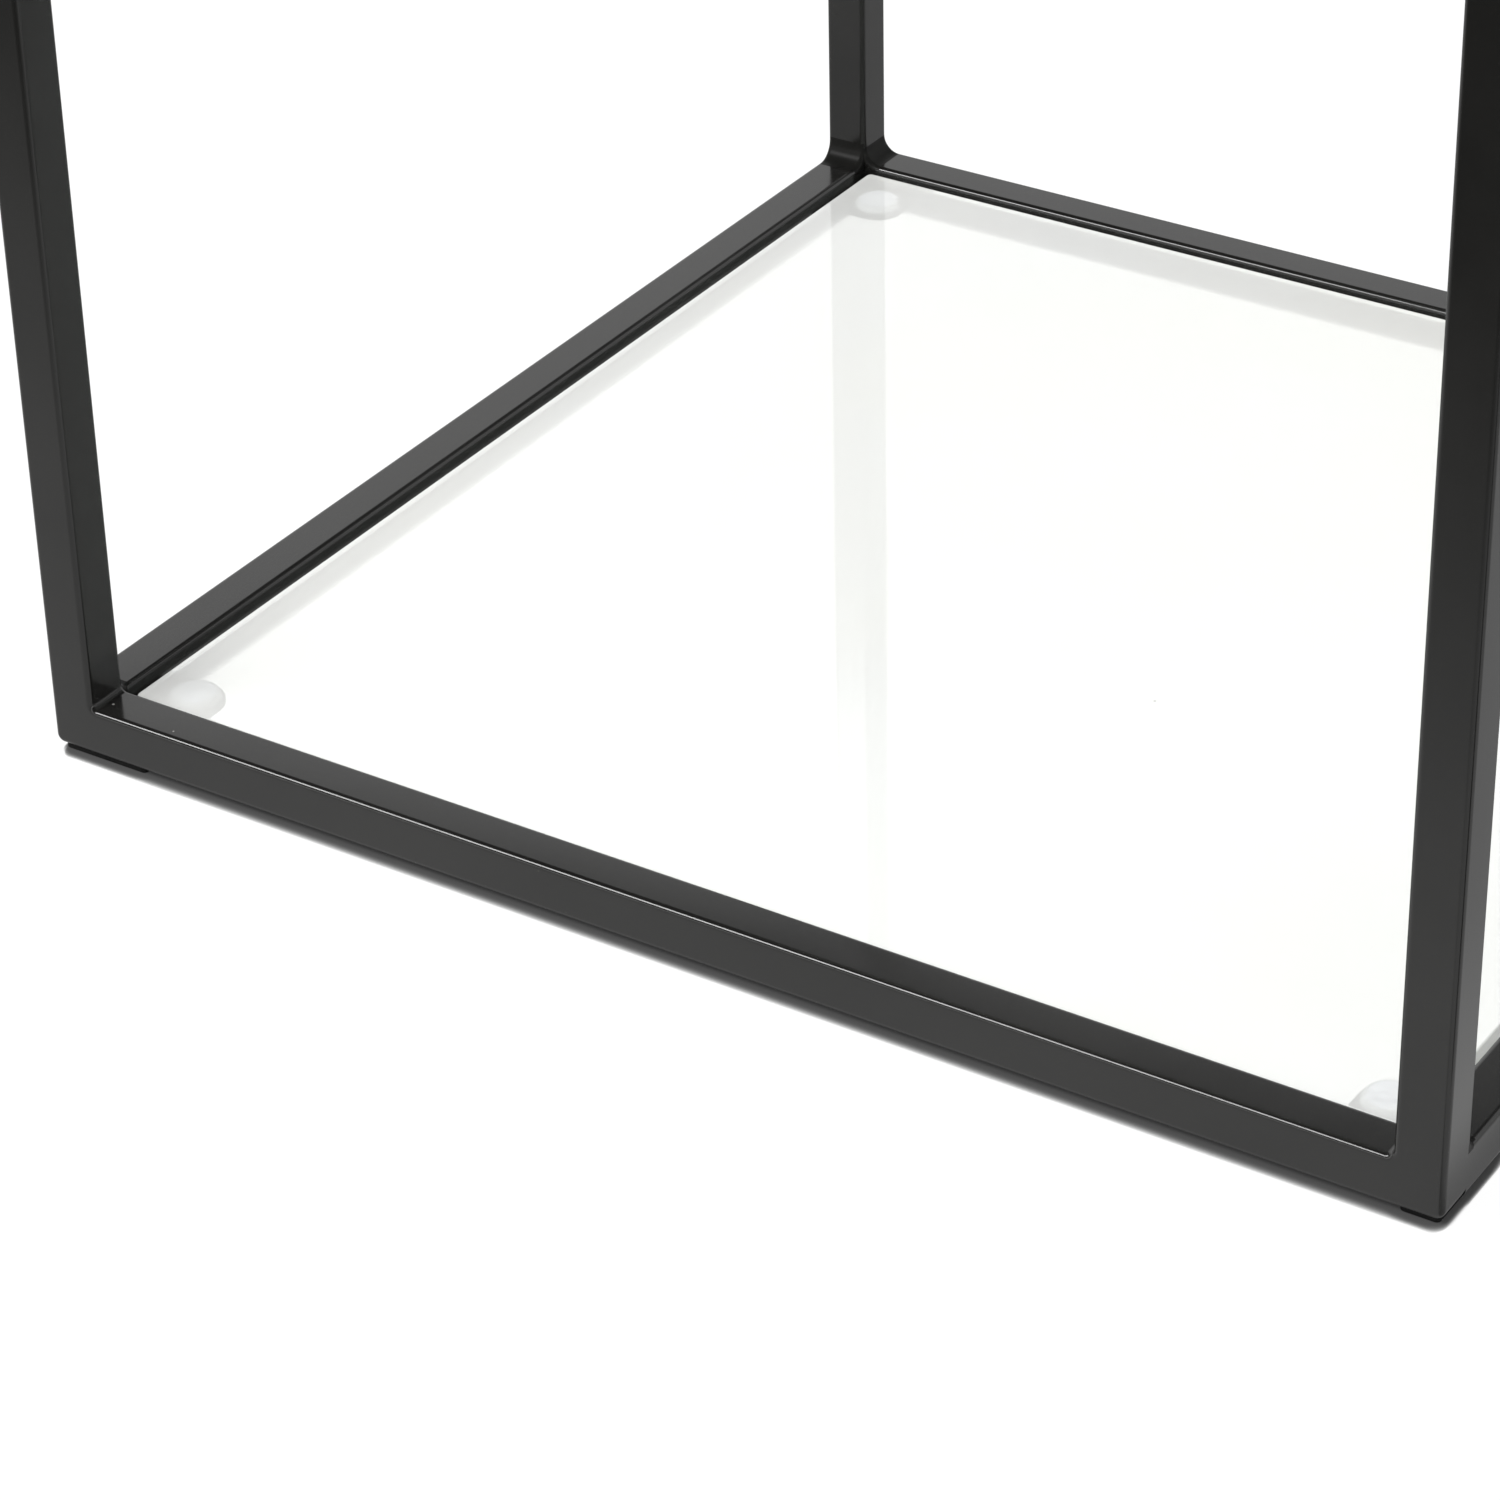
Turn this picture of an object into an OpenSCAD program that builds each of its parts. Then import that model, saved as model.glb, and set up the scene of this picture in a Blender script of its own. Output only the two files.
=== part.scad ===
// Nest of two square side tables in black square steel tube, with panes of glass laid into the frames.
// The small table has a full base frame with a glass shelf in it. It slides under the large table,
// whose base is open at one end. Millimetres, +Z up. The origin is on the floor, in the middle of the
// set as it stands with the small table pulled out. Each table is drawn about its own middle.

/* [Tube] */
// Outside width of the square tube that both frames are made of
tube = 15; // [14:0.5:18]
// Wall thickness of the tube
tube_wall = 1.2; // [0.8:0.1:2]
// Outside radius along the tube's four edges
tube_edge_r = 1.8; // [0.5:0.1:2.4]
// Radius that the mitred outside corners of a frame are dressed to
corner_r = 2.8; // [2.5:0.1:3]
// Radius of the dressed welds in the inside corners at the front legs
front_weld_r = 2; // [1:0.5:5]
// Radius of the dressed welds in the inside corners at the back legs
back_weld_r = 6; // [2:0.5:9]

/* [Small table] */
// Width of the small table along its front
small_w = 450; // [380:5:540]
// Depth of the small table from front to back
small_d = 446; // [380:2:540]
// Height of the small table
small_h = 450; // [360:5:500]

/* [Nest] */
// Clear space on each side of the small table when it is pushed in
nest_side_gap = 12; // [5:1:30]
// Clear space above the small table when it is pushed in
nest_top_gap = 35; // [8:1:60]
// Clear space between the small table and the closed end when it is pushed in
nest_end_gap = 12; // [5:1:30]
// How far the small table then stands back from the large table's open end
nest_setback = 23; // [0:1:60]
// Space between the two tables when the small one is pulled out
rest_gap = 60; // [20:5:200]

/* [Glass] */
// Thickness of the panes
glass_t = 5; // [4:0.5:6]
// Gap between a pane's left and right edges and the rails there
glass_side_gap = 2.8; // [1:0.1:4]
// Gap between a pane's front and back edges and the rails there
glass_front_gap = 1.3; // [1:0.1:4]
// Corner radius of the panes, seen from above
glass_r = 2; // [1:0.5:5]
// How far the shelf pane lies below the top of its rails
shelf_recess = 2.1; // [1:0.1:4]
// How far a top pane lies below the top of its rails
top_recess = 1; // [0.5:0.1:3]

/* [Glass supports] */
// Diameter of the clear pads under a pane
bumper_d = 16; // [10:1:20]
// Height of the clear pads
bumper_h = 2.2; // [1.5:0.1:3]
// Width of the rounding round the top of a clear pad
bumper_rounding = 1.8; // [0.5:0.1:3]
// Distance from the rails' inner faces to the middle of a clear pad
bumper_inset = 14.5; // [13:0.5:20]
// Width of tab that shows round a clear pad
tab_margin = 1; // [0.5:0.5:4]
// Thickness of the steel tabs that carry the clear pads
tab_t = 2; // [1.5:0.1:3]

/* [Feet] */
// Length of the pads stuck under the corners of a frame
foot_l = 30; // [20:1:45]
// Width of those pads
foot_w = 11.5; // [8:0.5:12]
// Thickness of those pads
foot_t = 2.2; // [1.5:0.1:4]
// Distance from the corner of the frame to the end of a pad
foot_end_gap = 2; // [1:0.2:6]
// Corner radius of those pads
foot_r = 1.5; // [0.5:0.5:3]

/* [Hidden] */
$fn = 48;
// Step of the arcs that are drawn as outlines, in degrees
arc_step = 9;

// Radius along the inside of the tube's edges
bore_r = max(tube_edge_r - tube_wall, 0.2);

// The large table is built round the small one
large_w = nest_setback + small_w + nest_end_gap + tube;
large_d = small_d + 2 * (nest_side_gap + tube);
large_h = small_h + nest_top_gap + tube;

// Middle of each table along X, with the origin in the middle of the set
set_w = small_w + rest_gap + large_w;
small_x = (small_w - set_w) / 2;
large_x = (set_w - large_w) / 2;

// Sides of a table, as the sign of the X or Y that they lie on
LEFT = -1;
RIGHT = 1;
FRONT = -1;
BACK = 1;
OPEN = LEFT;
END = RIGHT;

// Heights of the two levels of a frame, at the inner faces of their rails
base_inner_z = foot_t + tube;
function top_inner_z(h) = h - tube;
shelf_z = foot_t + tube - shelf_recess;
function top_glass_z(h) = h - top_recess;

FRAME_BLACK = [0.13, 0.13, 0.125];
PAD_BLACK = [0.04, 0.04, 0.04];
GLASS_TINT = [0.92, 0.96, 0.95, 0.5];
CLEAR_PAD = [0.82, 0.86, 0.92, 0.7];

// ---- Shapes that repeat ----

// A rectangle round the origin with round corners
module rounded_rect(w, d, r) {
    square([w - 2 * r, d], center = true);
    square([w, d - 2 * r], center = true);
    for (x = [-1, 1], y = [-1, 1]) translate([x * (w / 2 - r), y * (d / 2 - r)]) circle(r);
}

// Square tube along +Z, with its middle on the axis
module straight_tube(length) {
    linear_extrude(length) difference() {
        rounded_rect(tube, tube, tube_edge_r);
        rounded_rect(tube - 2 * tube_wall, tube - 2 * tube_wall, bore_r);
    }
}

// Side view of a tube that is mitred at both ends: its outer face lies on X = 0
function mitred_outline(length) = let (
    low = [for (a = [45:-arc_step:0]) corner_r * [1 - cos(a), 1 - sin(a)]],
    high = [for (i = [len(low) - 1:-1:0]) [low[i].x, length - low[i].y]]
) concat(low, high, [[tube, length - tube], [tube, tube]]);

// Square tube along +Z, mitred at both ends, with its outer face on X = 0
module mitred_tube(length) {
    intersection() {
        translate([tube / 2, 0, 0]) straight_tube(length);
        rotate([90, 0, 0]) linear_extrude(2 * tube, center = true) polygon(mitred_outline(length));
    }
}

function weld_radius(y_side) = y_side == BACK ? back_weld_r : front_weld_r;

// Dressed weld of radius r in the corner between the +X and +Z directions
module weld_fillet(r) {
    arc = [for (a = [0:arc_step:90]) r * [1 - sin(a), 1 - cos(a)]];
    rotate([90, 0, 0]) linear_extrude(tube - 2 * tube_edge_r, center = true)
        polygon(concat([[0, 0]], arc));
}

// ---- Pieces of a table of width w, depth d and height h ----

module leg(w, d, h, x_side, y_side) {
    color(FRAME_BLACK) translate([x_side * w / 2, y_side * (d - tube) / 2, foot_t])
        rotate(x_side == RIGHT ? 180 : 0) mitred_tube(h - foot_t);
}

// Rail along the front or back, mitred to the legs
module base_long_rail(w, d, y_side) {
    color(FRAME_BLACK) translate([w / 2, y_side * (d - tube) / 2, foot_t])
        rotate([0, -90, 0]) mitred_tube(w);
}

module top_long_rail(w, d, h, y_side) {
    color(FRAME_BLACK) translate([-w / 2, y_side * (d - tube) / 2, h])
        rotate([0, 90, 0]) mitred_tube(w);
}

// Rail along Y, cut square between the front and back frames
module cross_rail(w, d, x_side, middle_z) {
    length = d - 2 * tube;
    color(FRAME_BLACK) translate([x_side * (w - tube) / 2, length / 2, middle_z])
        rotate([90, 0, 0]) straight_tube(length);
}

module base_cross_rail(w, d, x_side) cross_rail(w, d, x_side, foot_t + tube / 2);

module top_cross_rail(w, d, h, x_side) cross_rail(w, d, x_side, h - tube / 2);

// Welds at one level: open_up is true where the corners look up, at the base
module level_welds(w, d, z, open_up, cross_sides) {
    flip = open_up ? 0 : 180;
    for (x = [LEFT, RIGHT], y = [FRONT, BACK])
        translate([x * (w / 2 - tube), y * (d - tube) / 2, z])
            rotate([flip, 0, x == RIGHT ? 180 : 0]) weld_fillet(weld_radius(y));
    for (x = cross_sides, y = [FRONT, BACK])
        translate([x * (w - tube) / 2, y * (d / 2 - tube), z])
            rotate([flip, 0, -90 * y]) weld_fillet(weld_radius(y));
}

module weld_fillets(w, d, h, base_cross_sides) {
    color(FRAME_BLACK) {
        level_welds(w, d, base_inner_z, true, base_cross_sides);
        level_welds(w, d, top_inner_z(h), false, [LEFT, RIGHT]);
    }
}

// Repeats its child at the four inner corners of the rails, turned to face inwards
module at_inner_corners(w, d) {
    for (turn = [0:3]) {
        x = turn == 1 || turn == 2 ? 1 : -1;
        y = turn < 2 ? -1 : 1;
        translate([x * (w / 2 - tube), y * (d / 2 - tube), 0]) rotate(90 * turn) children();
    }
}

// Tab outline: square in the corner of the rails, round the clear pad at its free corner
module tab_outline() {
    reach = bumper_inset + bumper_d / 2 + tab_margin;
    square([reach, bumper_inset]);
    square([bumper_inset, reach]);
    translate([bumper_inset, bumper_inset]) circle(reach - bumper_inset);
}

module glass_tabs(w, d, glass_top) {
    color(FRAME_BLACK) translate([0, 0, glass_top - glass_t - bumper_h - tab_t])
        at_inner_corners(w, d) linear_extrude(tab_t) tab_outline();
}

// Half section of a clear pad: a flat disc with a quarter round at its top edge
module bumper_section() {
    flat_r = bumper_d / 2 - bumper_rounding;
    rim = [for (a = [90:-arc_step:0]) [
        flat_r + bumper_rounding * cos(a),
        bumper_h - bumper_rounding + bumper_rounding * sin(a)
    ]];
    polygon(concat([[0, 0], [0, bumper_h]], rim, [[bumper_d / 2, 0]]));
}

module clear_bumpers(w, d, glass_top) {
    color(CLEAR_PAD) translate([0, 0, glass_top - glass_t - bumper_h])
        at_inner_corners(w, d) translate([bumper_inset, bumper_inset, 0])
            rotate_extrude() bumper_section();
}

module pane(w, d, glass_top) {
    pane_w = w - 2 * (tube + glass_side_gap);
    pane_d = d - 2 * (tube + glass_front_gap);
    color(GLASS_TINT) translate([0, 0, glass_top - glass_t])
        linear_extrude(glass_t) rounded_rect(pane_w, pane_d, glass_r);
}

// Pads under the four corners: turned_pads lets every second pad lie along Y
module foot_pads(w, d, turned_pads) {
    from_corner = foot_end_gap + foot_l / 2;
    color(PAD_BLACK) for (x = [-1, 1], y = [-1, 1]) {
        turned = turned_pads && x != y;
        inward = turned ? [tube / 2, from_corner] : [from_corner, tube / 2];
        translate([x * (w / 2 - inward.x), y * (d / 2 - inward.y), 0]) linear_extrude(foot_t)
            rotate(turned ? 90 : 0) rounded_rect(foot_l, foot_w, foot_r);
    }
}

// ---- Small table ----

module on_small() translate([small_x, 0, 0]) children();

module small_leg(x_side, y_side) on_small() leg(small_w, small_d, small_h, x_side, y_side);
module small_base_long_rail(y_side) on_small() base_long_rail(small_w, small_d, y_side);
module small_base_cross_rail(x_side) on_small() base_cross_rail(small_w, small_d, x_side);
module small_top_long_rail(y_side) on_small() top_long_rail(small_w, small_d, small_h, y_side);
module small_top_cross_rail(x_side) on_small() top_cross_rail(small_w, small_d, small_h, x_side);
module small_weld_fillets() on_small() weld_fillets(small_w, small_d, small_h, [LEFT, RIGHT]);
module small_shelf_tabs() on_small() glass_tabs(small_w, small_d, shelf_z);
module small_shelf_bumpers() on_small() clear_bumpers(small_w, small_d, shelf_z);
module small_shelf_glass() on_small() pane(small_w, small_d, shelf_z);
module small_top_tabs() on_small() glass_tabs(small_w, small_d, top_glass_z(small_h));
module small_top_bumpers() on_small() clear_bumpers(small_w, small_d, top_glass_z(small_h));
module small_top_glass() on_small() pane(small_w, small_d, top_glass_z(small_h));
module small_foot_pads() on_small() foot_pads(small_w, small_d, true);

// ---- Large table: its base has no rail at the open end ----

module on_large() translate([large_x, 0, 0]) children();

module large_leg(x_side, y_side) on_large() leg(large_w, large_d, large_h, x_side, y_side);
module large_base_long_rail(y_side) on_large() base_long_rail(large_w, large_d, y_side);
module large_base_cross_rail(x_side) on_large() base_cross_rail(large_w, large_d, x_side);
module large_top_long_rail(y_side) on_large() top_long_rail(large_w, large_d, large_h, y_side);
module large_top_cross_rail(x_side) on_large() top_cross_rail(large_w, large_d, large_h, x_side);
module large_weld_fillets() on_large() weld_fillets(large_w, large_d, large_h, [END]);
module large_top_tabs() on_large() glass_tabs(large_w, large_d, top_glass_z(large_h));
module large_top_bumpers() on_large() clear_bumpers(large_w, large_d, top_glass_z(large_h));
module large_top_glass() on_large() pane(large_w, large_d, top_glass_z(large_h));
module large_foot_pads() on_large() foot_pads(large_w, large_d, false);

small_leg(LEFT, FRONT);  // small_leg_front_left
small_leg(RIGHT, FRONT);  // small_leg_front_right
small_leg(LEFT, BACK);  // small_leg_back_left
small_leg(RIGHT, BACK);  // small_leg_back_right
small_base_long_rail(FRONT);  // small_base_rail_front
small_base_long_rail(BACK);  // small_base_rail_back
small_base_cross_rail(LEFT);  // small_base_rail_left
small_base_cross_rail(RIGHT);  // small_base_rail_right
small_top_long_rail(FRONT);  // small_top_rail_front
small_top_long_rail(BACK);  // small_top_rail_back
small_top_cross_rail(LEFT);  // small_top_rail_left
small_top_cross_rail(RIGHT);  // small_top_rail_right
small_weld_fillets();
small_shelf_tabs();
small_shelf_bumpers();
small_shelf_glass();
small_top_tabs();
small_top_bumpers();
small_top_glass();
small_foot_pads();
large_leg(OPEN, FRONT);  // large_leg_open_front
large_leg(OPEN, BACK);  // large_leg_open_back
large_leg(END, FRONT);  // large_leg_end_front
large_leg(END, BACK);  // large_leg_end_back
large_base_long_rail(FRONT);  // large_base_rail_front
large_base_long_rail(BACK);  // large_base_rail_back
large_base_cross_rail(END);  // large_base_rail_end
large_top_long_rail(FRONT);  // large_top_rail_front
large_top_long_rail(BACK);  // large_top_rail_back
large_top_cross_rail(OPEN);  // large_top_rail_open
large_top_cross_rail(END);  // large_top_rail_end
large_weld_fillets();
large_top_tabs();
large_top_bumpers();
large_top_glass();
large_foot_pads();
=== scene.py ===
"""Looks of a nest of two square side tables: black powder coated square tube with panes of glass.

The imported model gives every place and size. Each table is a class that models its own pieces over
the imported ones, in metres, and each finish is a small class that builds its own material.
"""

import logging
import math
from collections.abc import Callable, Sequence
from dataclasses import dataclass
from enum import Enum
from typing import NamedTuple

import bmesh
import bpy
from mathutils import Matrix, Vector


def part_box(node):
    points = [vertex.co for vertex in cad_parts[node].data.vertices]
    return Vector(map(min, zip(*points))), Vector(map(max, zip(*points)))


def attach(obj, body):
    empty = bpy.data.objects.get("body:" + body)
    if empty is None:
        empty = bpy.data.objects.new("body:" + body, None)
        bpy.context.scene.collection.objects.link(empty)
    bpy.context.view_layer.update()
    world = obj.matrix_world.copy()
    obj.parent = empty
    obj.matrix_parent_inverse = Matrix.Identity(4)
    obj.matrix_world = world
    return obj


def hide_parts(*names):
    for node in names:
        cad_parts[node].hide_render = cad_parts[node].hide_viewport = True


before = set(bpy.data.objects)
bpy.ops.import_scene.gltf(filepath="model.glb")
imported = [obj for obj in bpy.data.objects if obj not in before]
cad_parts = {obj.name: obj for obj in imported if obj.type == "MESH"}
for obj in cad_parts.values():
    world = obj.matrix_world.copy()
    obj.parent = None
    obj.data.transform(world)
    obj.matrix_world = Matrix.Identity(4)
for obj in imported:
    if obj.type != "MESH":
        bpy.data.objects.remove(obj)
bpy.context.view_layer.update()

MM = 0.001
# Points nearer to each other than this are one point
WELD_DISTANCE = 1e-6
# Faces that meet more sharply than this keep a hard edge
HARD_ANGLE = math.radians(40)
# Least share of a direction along an axis that still counts as straight along it
STRAIGHT = 0.999
# Least slant in X and in Z of a face on a ring's rounded inner corner
LEAST_SLANT = 0.05

Colour = tuple[float, float, float, float]
Socket = bpy.types.NodeSocket

logging.basicConfig(level=logging.INFO, format="%(message)s")
log = logging.getLogger("nesting_tables")


class Axis(Enum):
    """Main directions, as places in a vector."""

    X = 0
    Y = 1
    Z = 2


class Body(Enum):
    """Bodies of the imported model."""

    SMALL = "small_table"
    LARGE = "large_table"


class Slot(Enum):
    """Material slots of the record."""

    FRAME = "black_frame"
    GLASS = "shelf_glass"
    CLEAR = "clear_pad"
    FOOT = "foot_pad"


class Rounding(NamedTuple):
    """A rounded edge: its radius and the number of flats across it."""

    radius: float
    steps: int


class Ramp(NamedTuple):
    """A smooth change of level: two values, and the level at and beyond each."""

    low: float
    high: float
    to_low: float
    to_high: float


# ---------------------------------------------------------------- modelling


class Bench:
    """Modelling moves on one piece at a time."""

    @staticmethod
    def deselect() -> None:
        """Leaves nothing selected."""
        bpy.ops.object.select_all(action="DESELECT")

    @staticmethod
    def activate(piece: bpy.types.Object) -> None:
        """Makes one piece the only selected and active one.

        Args:
            piece: the piece to work on.
        """
        Bench.deselect()
        piece.select_set(True)
        bpy.context.view_layer.objects.active = piece

    @staticmethod
    def block(name: str, low: Vector, high: Vector) -> bpy.types.Object:
        """Adds a box between two corners, with its place in its mesh.

        Args:
            name: name of the piece.
            low: lowest corner.
            high: highest corner.

        Returns:
            The new piece.
        """
        Bench.deselect()
        bpy.ops.mesh.primitive_cube_add(size=1, location=(low + high) / 2)
        return Bench._settle(name, high - low)

    @staticmethod
    def disc(name: str, centre: Vector, radius: float, height: float, sides: int) -> bpy.types.Object:
        """Adds an upright cylinder, with its place in its mesh.

        Args:
            name: name of the piece.
            centre: middle of its underside.
            radius: its radius.
            height: its height.
            sides: number of sides.

        Returns:
            The new piece.
        """
        Bench.deselect()
        bpy.ops.mesh.primitive_cylinder_add(
            vertices=sides, radius=radius, depth=height, location=centre + Vector((0, 0, height / 2))
        )
        return Bench._settle(name, Vector((1, 1, 1)))

    @staticmethod
    def _settle(name: str, scale: Vector) -> bpy.types.Object:
        """Names the new primitive and moves its place and scale into its mesh.

        Args:
            name: name of the piece.
            scale: its size along each axis.

        Returns:
            The piece.
        """
        piece = bpy.context.active_object
        piece.name = piece.data.name = name
        piece.scale = scale
        bpy.ops.object.transform_apply(location=True, rotation=True, scale=True)
        return piece

    @staticmethod
    def pick(piece: bpy.types.Object, kind: str, wanted: Callable[..., bool]) -> int:
        """Enters edit mode with only the wanted edges or faces selected.

        Args:
            piece: the piece to edit.
            kind: "EDGE" or "FACE".
            wanted: says whether an edge or a face is selected.

        Returns:
            How many were selected.
        """
        Bench.activate(piece)
        bpy.ops.object.mode_set(mode="EDIT")
        bpy.ops.mesh.select_mode(type=kind)
        bpy.ops.mesh.select_all(action="DESELECT")
        shape = bmesh.from_edit_mesh(piece.data)
        picked = [part for part in (shape.edges if kind == "EDGE" else shape.faces) if wanted(part)]
        for part in picked:
            part.select_set(True)
        bmesh.update_edit_mesh(piece.data)
        return len(picked)

    @staticmethod
    def leave() -> None:
        """Goes back to object mode."""
        bpy.ops.object.mode_set(mode="OBJECT")

    @staticmethod
    def bevel(piece: bpy.types.Object, wanted: Callable[..., bool], rounding: Rounding) -> None:
        """Rounds edges, inwards on an outer edge and as a fillet in an inner one.

        Args:
            piece: the piece to shape.
            wanted: says whether an edge is rounded.
            rounding: how it is rounded.
        """
        if Bench.pick(piece, "EDGE", wanted):
            bpy.ops.mesh.bevel(
                offset=rounding.radius, offset_type="OFFSET", segments=rounding.steps, profile=0.5,
                affect="EDGES", clamp_overlap=False, loop_slide=False,
            )
            bpy.ops.mesh.select_all(action="SELECT")
            bpy.ops.mesh.remove_doubles(threshold=WELD_DISTANCE)
        Bench.leave()

    @staticmethod
    def outline(low: Vector, high: Vector, rounding: Rounding) -> bpy.types.Object:
        """Adds an upright flat rectangle with round corners, at the lowest Y of a box.

        Args:
            low: lowest corner of the box.
            high: highest corner of the box.
            rounding: how its corners are rounded.

        Returns:
            The rectangle, as one face.
        """
        Bench.deselect()
        size = high - low
        middle = (low + high) / 2
        bpy.ops.mesh.primitive_plane_add(
            size=1, location=(middle.x, low.y, middle.z), rotation=(math.pi / 2, 0, 0)
        )
        piece = Bench._settle("outline", Vector((size.x, size.z, 1)))
        Bench.pick(piece, "EDGE", lambda edge: True)
        bpy.ops.mesh.bevel(
            offset=rounding.radius, offset_type="OFFSET", segments=rounding.steps, profile=0.5,
            affect="VERTICES", clamp_overlap=False,
        )
        Bench.leave()
        return piece

    @staticmethod
    def ring(name: str, outer: bpy.types.Object, inner: bpy.types.Object, depth: float) -> bpy.types.Object:
        """Bridges two outlines to a flat ring and gives it its depth along Y.

        Args:
            name: name of the piece.
            outer: the outer outline.
            inner: the inner outline, with as many corners.
            depth: how far the ring reaches along Y.

        Returns:
            The closed ring.
        """
        Bench.activate(outer)
        inner.select_set(True)
        bpy.ops.object.join()
        Bench.pick(outer, "FACE", lambda face: True)
        bpy.ops.mesh.delete(type="ONLY_FACE")
        bpy.ops.mesh.select_mode(type="EDGE")
        bpy.ops.mesh.select_all(action="SELECT")
        bpy.ops.mesh.bridge_edge_loops()
        bpy.ops.mesh.select_all(action="SELECT")
        bpy.ops.mesh.extrude_region_move(TRANSFORM_OT_translate={"value": (0, depth, 0)})
        bpy.ops.mesh.select_all(action="SELECT")
        bpy.ops.mesh.normals_make_consistent(inside=False)
        Bench.leave()
        outer.name = outer.data.name = name
        return outer

    @staticmethod
    def smooth(piece: bpy.types.Object) -> None:
        """Shades roundings smoothly and keeps flat faces flat.

        Args:
            piece: the piece to shade.
        """
        Bench.activate(piece)
        bpy.ops.object.shade_smooth_by_angle(angle=HARD_ANGLE)
        even = piece.modifiers.new("even_faces", "WEIGHTED_NORMAL")
        even.keep_sharp = True
        bpy.ops.object.modifier_apply(modifier=even.name)

    @staticmethod
    def copies(pattern: bpy.types.Object, name: str, places: Sequence[Matrix]) -> bpy.types.Object:
        """Repeats a pattern at several places as one piece, and removes the pattern.

        Args:
            pattern: the piece to repeat.
            name: name of the new piece.
            places: where each copy goes.

        Returns:
            The new piece.
        """
        made = []
        for place in places:
            copy = pattern.copy()
            copy.data = pattern.data.copy()
            copy.data.transform(place)
            bpy.context.collection.objects.link(copy)
            made.append(copy)
        bpy.data.objects.remove(pattern)
        return Bench.joined(made, name)

    @staticmethod
    def joined(pieces: Sequence[bpy.types.Object], name: str) -> bpy.types.Object:
        """Joins pieces into one.

        Args:
            pieces: the pieces.
            name: name of the result.

        Returns:
            The joined piece.
        """
        Bench.activate(pieces[0])
        for piece in pieces:
            piece.select_set(True)
        bpy.ops.object.join()
        piece = bpy.context.active_object
        piece.name = piece.data.name = name
        return piece


def runs_along(axis: Axis) -> Callable[[bmesh.types.BMEdge], bool]:
    """Test for edges that lie along one direction.

    Args:
        axis: the direction.

    Returns:
        A test that takes an edge.
    """

    def test(edge: bmesh.types.BMEdge) -> bool:
        """Whether the edge lies along the axis."""
        way = (edge.verts[1].co - edge.verts[0].co).normalized()
        return abs(way[axis.value]) > STRAIGHT

    return test


def rim_at(height: float) -> Callable[[bmesh.types.BMEdge], bool]:
    """Test for the hard edges of a level rim.

    Args:
        height: height of the rim.

    Returns:
        A test that takes an edge.
    """

    def test(edge: bmesh.types.BMEdge) -> bool:
        """Whether the edge is hard and lies at the height."""
        return is_hard(edge) and all(abs(vert.co.z - height) < WELD_DISTANCE for vert in edge.verts)

    return test


def is_hard(edge: bmesh.types.BMEdge) -> bool:
    """Whether the edge's two faces meet sharply.

    Args:
        edge: the edge.

    Returns:
        True on a hard edge.
    """
    return edge.calc_face_angle(0) > HARD_ANGLE


# ---------------------------------------------------------------- finishes


class NodeSheet:
    """A node tree under construction."""

    def __init__(self, tree: bpy.types.NodeTree) -> None:
        """Starts on an emptied tree.

        Args:
            tree: the tree to fill.
        """
        self.tree = tree
        self.tree.nodes.clear()

    def add(self, kind: str, inputs: dict[str, object] | None = None, **settings: object) -> bpy.types.Node:
        """Adds a node and sets or links its inputs.

        Args:
            kind: Blender's name for the node type.
            inputs: values or output sockets, by input name.
            settings: properties of the node.

        Returns:
            The new node.
        """
        node = self.tree.nodes.new(kind)
        for name, value in settings.items():
            setattr(node, name, value)
        for name, value in (inputs or {}).items():
            self.feed(node.inputs[name], value)
        return node

    def feed(self, socket: Socket, value: object) -> None:
        """Links an output to a socket, or sets the socket's own value.

        Args:
            socket: the input socket.
            value: an output socket or a plain value.
        """
        if isinstance(value, Socket):
            self.tree.links.new(value, socket)
        else:
            socket.default_value = value

    def math(self, operation: str, a: object, b: object) -> Socket:
        """Adds a sum on two values.

        Args:
            operation: Blender's name for the sum.
            a: first value or output socket.
            b: second value or output socket.

        Returns:
            The result.
        """
        node = self.add("ShaderNodeMath", operation=operation)
        self.feed(node.inputs[0], a)
        self.feed(node.inputs[1], b)
        return node.outputs[0]

    def product(self, first: object, *others: object) -> Socket:
        """Multiplies values.

        Args:
            first: first value or output socket.
            others: the other ones.

        Returns:
            The product.
        """
        for other in others:
            first = self.math("MULTIPLY", first, other)
        return first

    def ramp(self, value: object, ramp: Ramp) -> Socket:
        """Maps a range of values smoothly to a range of levels.

        Args:
            value: the value or output socket.
            ramp: the two values and their levels.

        Returns:
            The level.
        """
        inputs = {
            "Value": value, "From Min": ramp.low, "From Max": ramp.high,
            "To Min": ramp.to_low, "To Max": ramp.to_high,
        }
        node = self.add("ShaderNodeMapRange", inputs, interpolation_type="SMOOTHSTEP")
        return node.outputs["Result"]

    def mix(self, share: object, a: object, b: object) -> Socket:
        """Mixes two colours.

        Args:
            share: share of the second colour.
            a: first colour or output socket.
            b: second colour or output socket.

        Returns:
            The mixed colour.
        """
        node = self.add("ShaderNodeMix", {"Factor": share}, data_type="RGBA")
        # Sockets 6 and 7 and output 2 are the ones for colours
        self.feed(node.inputs[6], a)
        self.feed(node.inputs[7], b)
        return node.outputs[2]

    def shaders(self, kind: str, a: Socket, b: Socket, **inputs: object) -> Socket:
        """Combines two shaders.

        Args:
            kind: Blender's name for the node type.
            a: first shader.
            b: second shader.
            inputs: values or output sockets of its other inputs, by name.

        Returns:
            The combined shader.
        """
        node = self.add(kind, inputs)
        # The two shaders are the last two sockets
        self.feed(node.inputs[-2], a)
        self.feed(node.inputs[-1], b)
        return node.outputs["Shader"]


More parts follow.
